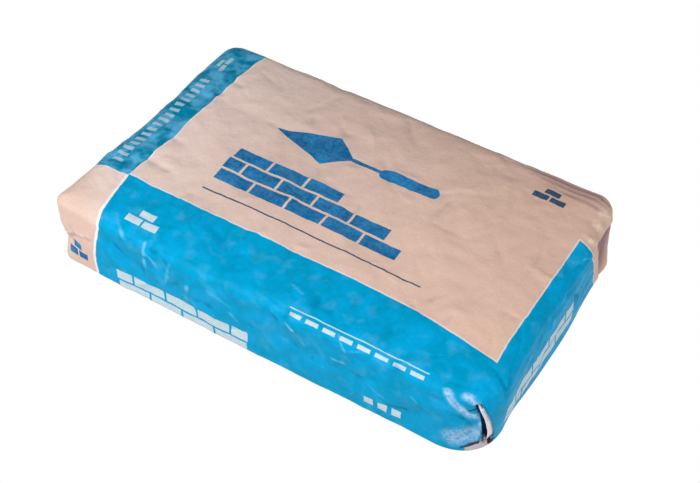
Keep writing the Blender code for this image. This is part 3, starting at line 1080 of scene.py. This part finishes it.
def dashes(tree, spot, start, length, height, pitch, share):
    """A row of dashes along u."""
    local = add(tree, "VectorMath", {0: spot, 1: (*start, 0)}, operation="SUBTRACT")[0]
    parts = add(tree, "SeparateXYZ", {0: local})
    along = add(tree, "Math", {0: parts[0], 1: pitch, 2: 0.0}, operation="WRAP")[0]
    cell = add(tree, "CombineXYZ", {0: along, 1: parts[1]})[0]
    dash = block(tree, cell, (pitch / 2, 0), (pitch * share, height))
    reach = block(tree, local, (length / 2, 0), (length, 2 * height))
    return inked(tree, combined(tree, [dash, reach], "MAXIMUM"))


def deep_print(tree, spot):
    """The dark blue design on the kraft: a wall, a trowel over it, and a small stack of bricks."""
    blade = shape(tree, spot, TROWEL_BLADE)
    neck = block(tree, spot, *TROWEL_NECK)
    handle = rounded(tree, spot, *TROWEL_HANDLE)
    return combined(tree, [
        brickwork(tree, spot, *WALL),
        inked(tree, combined(tree, [blade, neck, handle], "MINIMUM")),
        stack_of_three(tree, spot, *LEFT_STACK),
    ], "MAXIMUM")


def line_print(tree, spot):
    """What is printed on the kraft in the darkest ink: a rule, and a small stack of bricks."""
    rule = inked(tree, block(tree, spot, *TOP_RULE))
    return combined(tree, [rule, stack_of_three(tree, spot, *FAR_STACK)], "MAXIMUM")


def pale_print(tree, spot):
    """What is left unprinted in the blue: bricks, a rule and dashes. Those of the valve end and the
    stripe are laid out along the ends, a quarter turn round."""
    quarter = (0, 0, -math.pi / 2)
    along_end = add(tree, "Mapping", {0: spot, 2: quarter}, vector_type="POINT")[0]
    return combined(tree, [
        brickwork(tree, spot, *SIDE_WALL),
        stack_of_three(tree, spot, *SIDE_STACK),
        inked(tree, block(tree, spot, *SIDE_RULE)),
        dashes(tree, spot, *SIDE_DASHES),
        dashes(tree, spot, *SIDE_SQUARES),
        brickwork(tree, along_end, *END_WALL),
        dashes(tree, along_end, *STRIPE_TICKS),
        stack_of_three(tree, along_end, *STRIPE_STACK),
    ], "MAXIMUM")


def band_start(tree, spot):
    """How far a spot lies before the band's left end, which the sack's bulge draws into a bend."""
    bend = combined(tree, [past_line(tree, spot, *line) for line in BAND_START_BEND], "MINIMUM")
    return combined(tree, [bend, beyond(tree, spot, (-1, 0), -BAND_START)], "MAXIMUM")


def stripe_ink(tree, spot):
    """The distance to the stripe across the far left of the top, with its wavy edge."""
    across = add(tree, "SeparateXYZ", {0: spot})[1]
    wave = {"W": across, "Scale": 1 / STRIPE_WAVES, "Detail": 1.0}
    wave = add(tree, "TexNoise", wave, noise_dimensions="1D")[0]
    wave = add(tree, "Math", {0: wave, 1: 0.5}, operation="SUBTRACT")[0]
    edge = past_line(tree, spot, *STRIPE_EDGE)
    edge = add(tree, "Math", {0: wave, 1: STRIPE_WAVE, 2: edge}, operation="MULTIPLY_ADD")[0]
    return combined(tree, [edge, past_line(tree, spot, *STRIPE_NEAR)], "MAXIMUM")


def band_ink(tree, spot, start, stripe):
    """The distance to the blue ink: the band along the near side, the valve end and the stripe."""
    band = combined(tree, [
        past_line(tree, spot, *BAND_EDGE),
        past_line(tree, spot, *BAND_EDGE_RIGHT),
        start,
        beyond(tree, spot, (0, -1), BAND_UNDER),
    ], "MAXIMUM")
    far_edge = combined(tree, [past_line(tree, spot, *line) for line in VALVE_END_FAR], "MINIMUM")
    valve_end = combined(tree, [past_line(tree, spot, *VALVE_END_EDGE), far_edge], "MAXIMUM")
    return combined(tree, [band, valve_end, stripe], "MINIMUM")


def unprinted_gap(tree, spot, start, blue):
    """The pale line of bleached paper that is left round the blue, wider at the band's left end."""
    gap = add(tree, "Math", {0: blue, 1: TRAP_WIDTH}, operation="SUBTRACT")[0]
    gap = add(tree, "Math", {0: inked(tree, gap), 1: 0.6}, operation="MULTIPLY")[0]
    start_gap = combined(tree, [
        add(tree, "Math", {0: start, 1: 2 * TRAP_WIDTH}, operation="SUBTRACT")[0],
        past_line(tree, spot, *BAND_EDGE),
        beyond(tree, spot, (1, 0), 0.0),
    ], "MAXIMUM")
    return combined(tree, [gap, inked(tree, start_gap)], "MAXIMUM")


def near_side_place(before_corner, z):
    """The sheet's place of a spot on the near side, by how far before the valve corner it is."""
    return LENGTH / 2 - before_corner, z - WIDTH / 2 - THICKNESS


def valve_end_place(past_corner, z):
    """The sheet's place of a spot on the valve end, by how far past the valve corner it is."""
    return LENGTH / 2 + THICKNESS - z, past_corner - WIDTH / 2


def round_mouth(tree, spot, near, end):
    """The distance to shapes round the mouth, some on the near side and some on the valve end."""
    shapes = [shape(tree, spot, [near_side_place(*p) for p in corners]) for corners in near]
    shapes += [shape(tree, spot, [valve_end_place(*p) for p in corners]) for corners in end]
    return combined(tree, shapes, "MINIMUM")


def kraft_tone(tree, sheet, clouds):
    """Bare kraft: greyer to the left and warmer to the right, with painted light towards the left end,
    painted shade towards the far right, and painted shade at the near left corner."""
    towards_right = add(tree, "SeparateXYZ", {0: sheet})[0]
    warmth = add(tree, "MapRange", {0: towards_right, 1: -0.25, 2: 0.25, 3: 0.0, 4: 0.9})[0]
    near_left = beyond(tree, sheet, (-0.707, -0.707), 0.0)
    near_left_shade = add(tree, "MapRange", {0: near_left, 1: 0.310, 2: 0.350, 3: 0.0, 4: 0.8})[0]
    tints = ((clouds, KRAFT_HIGH), (warmth, KRAFT_WARM), (near_left_shade, KRAFT_NEAR_LEFT_SHADE))
    kraft = laid_over(tree, linear(KRAFT_LOW), tints)
    # Painted light towards the left end, and painted shade towards the far right
    painted_light_left = add(tree, "MapRange", {0: towards_right, 1: -0.12, 2: -0.26, 3: 1.0, 4: 1.13})[0]
    far_right = beyond(tree, sheet, (0.50, 0.87), 0.0)
    painted_shade_far_right = add(tree, "MapRange", {0: far_right, 1: 0.05, 2: 0.17, 3: 1.0, 4: 0.92})[0]
    tone = add(tree, "Math", {0: painted_light_left, 1: painted_shade_far_right}, operation="MULTIPLY")[0]
    return add(tree, "VectorMath", {0: kraft, 3: tone}, operation="SCALE")[0]


def blue_tone(tree, place_in_frame, in_stripe, mottle, fibre_shade):
    """The blue ink: mottled where it lies thicker and thinner, and more so in the stripe, with faint
    patches of painted sheen.
    """
    ink = laid_over(tree, linear(BAND_INK_LOW), [(mottle, BAND_INK_HIGH)])
    ink = add(tree, "VectorMath", {0: ink, 3: fibre_shade}, operation="SCALE")[0]
    patches = {"Vector": place_in_frame, "Scale": 1 / PATCHES, "Detail": 2.0}
    patches = add(tree, "MapRange", {0: add(tree, "TexNoise", patches)[0], 1: 0.40, 2: 0.62})[0]
    above_ground = add(tree, "SeparateXYZ", {0: place_in_frame})[2]
    calm = add(tree, "MapRange", {0: above_ground, 1: 0.100, 2: 0.122, 3: 0.3, 4: 1.0})[0]
    patches = add(tree, "Math", {0: patches, 1: calm}, operation="MULTIPLY")[0]
    faded = laid_over(tree, linear(STRIPE_INK_LOW), [(patches, STRIPE_INK_HIGH)])
    # Faint patches of painted sheen on the blue ink
    painted_sheen = {"Vector": place_in_frame, "Scale": 1 / SHEEN_PATCHES, "Detail": 3.0}
    painted_sheen = add(tree, "TexNoise", painted_sheen)[0]
    painted_sheen = add(tree, "MapRange", {0: painted_sheen, 1: 0.54, 2: 0.75, 3: 0.0, 4: 0.14})[0]
    return laid_over(tree, ink, [(in_stripe, faded), (painted_sheen, WORN_AND_SHEEN_INK)])


def printed_kraft():
    """Sack kraft, a rough brown paper, printed by flexography: a thin satin ink that the fibres
    show through, left out in a narrow gap round each colour and rubbed pale along the creases, partly
    by wear and partly as painted highlight, with painted shade in its sunken folds and in the mouth."""
    material, shader = new_material("printed_sack_kraft")
    tree = material.node_tree
    place_in_frame = add(tree, "TexCoord")["Object"]
    sheet = add(tree, "UVMap", uv_map="sheet")[0]
    fibres = {"Vector": place_in_frame, "Scale": 1 / FIBRES, "Detail": 4.0, "Roughness": 0.65}
    fibres = add(tree, "TexNoise", fibres)[0]
    fibre_shade = add(tree, "MapRange", {0: fibres, 1: 0.3, 2: 0.7, 3: 0.93, 4: 1.06})[0]
    clouds = add(tree, "TexNoise", {"Vector": place_in_frame, "Scale": 1 / CLOUDS, "Detail": 3.0})[0]
    mottle = {"Vector": place_in_frame, "Scale": 1 / MOTTLE, "Detail": 4.0, "Distortion": 0.8}
    mottle = add(tree, "MapRange", {0: add(tree, "TexNoise", mottle)[0], 1: 0.38, 2: 0.66})[0]
    flakes = {"Vector": place_in_frame, "Scale": 1 / FLAKES, "Detail": 4.0, "Roughness": 0.6}
    flakes = add(tree, "TexNoise", flakes)[0]
    flakes = add(tree, "MapRange", {0: flakes, 1: 0.42, 2: 0.58, 3: 0.35, 4: 1.0})[0]

    # The ink's edges wander, because it spreads in the rough paper
    wander = {"Vector": place_in_frame, "Scale": 1 / EDGE_WANDER, "Detail": 3.0}
    wander = add(tree, "TexNoise", wander)["Color"]
    wander = add(tree, "VectorMath", {0: wander, 1: (0.5, 0.5, 0.5)}, operation="SUBTRACT")[0]
    rough = (EDGE_ROUGHNESS, EDGE_ROUGHNESS, 0)
    spot = add(tree, "VectorMath", {0: wander, 1: rough, 2: sheet}, operation="MULTIPLY_ADD")[0]
    start = band_start(tree, spot)
    stripe = stripe_ink(tree, spot)
    in_stripe = inked(tree, stripe)
    blue = band_ink(tree, spot, start, stripe)

    # Bare paper and ink, each paler along the creases, partly by wear and partly as painted highlight,
    # and the ink scuffed off at the mouth
    wear_and_sheen = add(tree, "Attribute", attribute_name="wear_and_sheen")["Fac"]
    worn_and_lit = add(tree, "Math", {0: fibres, 1: clouds}, operation="ADD")[0]
    worn_and_lit = add(tree, "Math", {0: worn_and_lit, 1: wear_and_sheen}, operation="MULTIPLY")[0]
    worn_and_lit = add(tree, "MapRange", {0: worn_and_lit, 1: 0.30, 2: 1.1, 3: 0.0, 4: 0.70})[0]
    kraft_worn_and_lit = add(tree, "Math", {0: worn_and_lit, 1: 0.85}, operation="MULTIPLY")[0]
    kraft = kraft_tone(tree, sheet, clouds)
    kraft = add(tree, "VectorMath", {0: kraft, 3: fibre_shade}, operation="SCALE")[0]
    kraft = laid_over(tree, kraft, [(kraft_worn_and_lit, KRAFT_WORN_AND_LIT)])
    bare = add(tree, "Attribute", attribute_name="scuffed")["Fac"]
    bare = add(tree, "Math", {0: bare, 1: flakes}, operation="MULTIPLY")[0]
    ink = blue_tone(tree, place_in_frame, in_stripe, mottle, fibre_shade)
    ink = laid_over(tree, ink, [(worn_and_lit, WORN_AND_SHEEN_INK), (bare, BARE_PAPER)])

    # The pale print is thinner in the stripe, and flakes leave each print short of full cover
    thin = add(tree, "MapRange", {0: in_stripe, 3: 1.0, 4: 0.66})[0]
    pale = add(tree, "MapRange", {0: flakes, 1: 0.35, 2: 1.0, 3: 0.84, 4: 0.97})[0]
    for cover in (thin, pale_print(tree, spot)):
        pale = add(tree, "Math", {0: pale, 1: cover}, operation="MULTIPLY")[0]
    cover = add(tree, "MapRange", {0: flakes, 1: 0.35, 2: 1.0, 3: 0.94, 4: 1.0})[0]
    design = add(tree, "Math", {0: cover, 1: deep_print(tree, spot)}, operation="MULTIPLY")[0]
    lines = add(tree, "Math", {0: cover, 1: line_print(tree, spot)}, operation="MULTIPLY")[0]
    deep = laid_over(tree, linear(DEEP_INK_LOW), [(mottle, DEEP_INK_HIGH)])

    # Below the flaps' free edges and below the mouth, the paper is unprinted
    along = add(tree, "SeparateXYZ", {0: spot})[0]
    flap_end = LENGTH / 2 + THICKNESS - FLAP_EDGE_HEIGHT
    below_flap = add(tree, "Math", {0: along, 1: flap_end}, operation="GREATER_THAN")[0]
    foot = inked(tree, round_mouth(tree, spot, NEAR_FOOT, END_FOOT), 0.0020)
    colour = laid_over(tree, kraft, [
        (unprinted_gap(tree, spot, start, blue), BLEACHED),
        (inked(tree, blue), ink),
        (pale, PALE_PRINT),
        (design, deep),
        (lines, LINE_INK),
        (below_flap, BASE_STRIP),
        (foot, TORN_PAPER),
    ])

    # Painted shade: a tint in sunken folds, the far right corner's fold and the dark creases up to a
    # share of 1, and from there to 2 the painted dark inside the mouth and in its gaps
    shade_depth = add(tree, "Attribute", attribute_name="painted_shade")["Fac"]
    gap_shadows = inked(tree, round_mouth(tree, spot, NEAR_GAP_SHADOWS, END_GAP_SHADOWS), 0.0010)
    shade_depth = add(tree, "Math", {0: gap_shadows, 1: 2.0, 2: shade_depth}, operation="MULTIPLY_ADD")[0]
    shade_tint = add(tree, "MapRange", {0: shade_depth, 1: 0.0, 2: 1.0})[0]
    shade_tint = laid_over(tree, linear(WHITE), [(shade_tint, SHADE_TINT_COLOUR)])
    colour = add(tree, "VectorMath", {0: colour, 1: shade_tint}, operation="MULTIPLY")[0]
    dark = add(tree, "MapRange", {0: shade_depth, 1: 1.0, 2: 2.0, 3: 0.0, 4: 0.9})[0]
    colour = laid_over(tree, colour, [(dark, DEEP_SHADE)])
    tree.links.new(colour, shader.inputs["Base Color"])

    crinkle = {"Vector": place_in_frame, "Scale": 1 / CRINKLES}
    crinkle = add(tree, "TexVoronoi", crinkle, feature="DISTANCE_TO_EDGE")[0]
    crinkle = add(tree, "MapRange", {0: crinkle, 1: 0.0, 2: 0.25, 3: 1.0, 4: 0.0})[0]
    crinkle = add(tree, "Math", {0: crinkle, 1: clouds}, operation="MULTIPLY")[0]
    height = add(tree, "Math", {0: fibres, 1: 0.25, 2: crinkle}, operation="MULTIPLY_ADD")[0]
    bump = add(tree, "Bump", {"Height": height, "Strength": 0.5, "Distance": 0.0006})[0]
    tree.links.new(bump, shader.inputs["Normal"])
    shader.inputs["Roughness"].default_value = 0.42
    shader.inputs["Specular IOR Level"].default_value = 0.02
    return material


def valve_kraft():
    """Unprinted kraft of the valve sleeve: paler than the sack's, matt, fibrous and dusty with cement."""
    material, shader = new_material("unprinted_valve_kraft")
    tree = material.node_tree
    place_in_frame = add(tree, "TexCoord")["Object"]
    fibres = {"Vector": place_in_frame, "Scale": 1 / SLEEVE_FIBRES, "Detail": 4.0}
    fibres = add(tree, "TexNoise", fibres)[0]
    dust = add(tree, "TexNoise", {"Vector": place_in_frame, "Scale": 1 / DUST, "Detail": 3.0})[0]
    dust = add(tree, "MapRange", {0: dust, 1: 0.30, 2: 0.55})[0]
    colour = laid_over(tree, linear(SLEEVE_KRAFT), [(dust, SLEEVE_DUST)])
    tree.links.new(colour, shader.inputs["Base Color"])
    bump = add(tree, "Bump", {"Height": fibres, "Strength": 0.3, "Distance": 0.0003})[0]
    tree.links.new(bump, shader.inputs["Normal"])
    shader.inputs["Roughness"].default_value = 0.85
    shader.inputs["Specular IOR Level"].default_value = 0.1
    return material


def camera():
    data = bpy.data.cameras.new("camera")
    data.lens = CAMERA_LENS_MM
    data.clip_end = 2 * FLOOR_SIZE
    seen_from = bpy.data.objects.new("camera", data)
    bpy.context.scene.collection.objects.link(seen_from)
    level = math.cos(CAMERA_ELEVATION)
    back = Vector((
        math.sin(CAMERA_AZIMUTH) * level,
        -math.cos(CAMERA_AZIMUTH) * level,
        math.sin(CAMERA_ELEVATION),
    ))
    turn = back.to_track_quat("Z", "Y").to_matrix().to_4x4() @ Matrix.Rotation(CAMERA_ROLL, 4, "Z")
    seen_from.matrix_world = Matrix.Translation(CAMERA_TARGET + back * CAMERA_DISTANCE) @ turn
    bpy.context.scene.camera = seen_from


def softbox(name, spot, diameter, power):
    data = bpy.data.lights.new(name, "AREA")
    data.shape = "DISK"
    data.size = diameter
    data.energy = power
    lamp = bpy.data.objects.new(name, data)
    bpy.context.scene.collection.objects.link(lamp)
    lamp.location = spot
    lamp.rotation_euler = Vector(spot).to_track_quat("Z", "Y").to_euler()


def studio():
    """A white world, the softboxes, and a floor of acrylic sheet that is lit from below, so that it
    shows pure white and takes no shadow."""
    world = bpy.data.worlds.new("white_studio")
    world.use_nodes = True
    bpy.context.scene.world = world
    background = world.node_tree.nodes["Background"]
    background.inputs["Color"].default_value = linear(WHITE)
    background.inputs["Strength"].default_value = WORLD_STRENGTH
    for name, (spot, diameter, power) in SOFTBOXES.items():
        softbox(name, spot, diameter, power)
    mesh = bmesh.new()
    bmesh.ops.create_grid(mesh, x_segments=4, y_segments=4, size=FLOOR_SIZE / 2)
    floor = object_from(mesh, "floor")
    acrylic, shader = new_material("lit_white_acrylic")
    shader.inputs["Base Color"].default_value = linear(BLACK)
    shader.inputs["Roughness"].default_value = 1.0
    shader.inputs["Specular IOR Level"].default_value = 0.0
    shader.inputs["Emission Color"].default_value = linear(WHITE)
    shader.inputs["Emission Strength"].default_value = 1.0
    floor.data.materials.append(acrylic)
    bpy.context.scene.view_settings.view_transform = "Standard"


camera()
studio()
sack = filled_sack()
sack.data.materials.append(printed_kraft())
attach(sack, "root")
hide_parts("sack")
sleeve = valve_sleeve()
sleeve.data.materials.append(valve_kraft())
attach(sleeve, "root")
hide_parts("valve_sleeve")
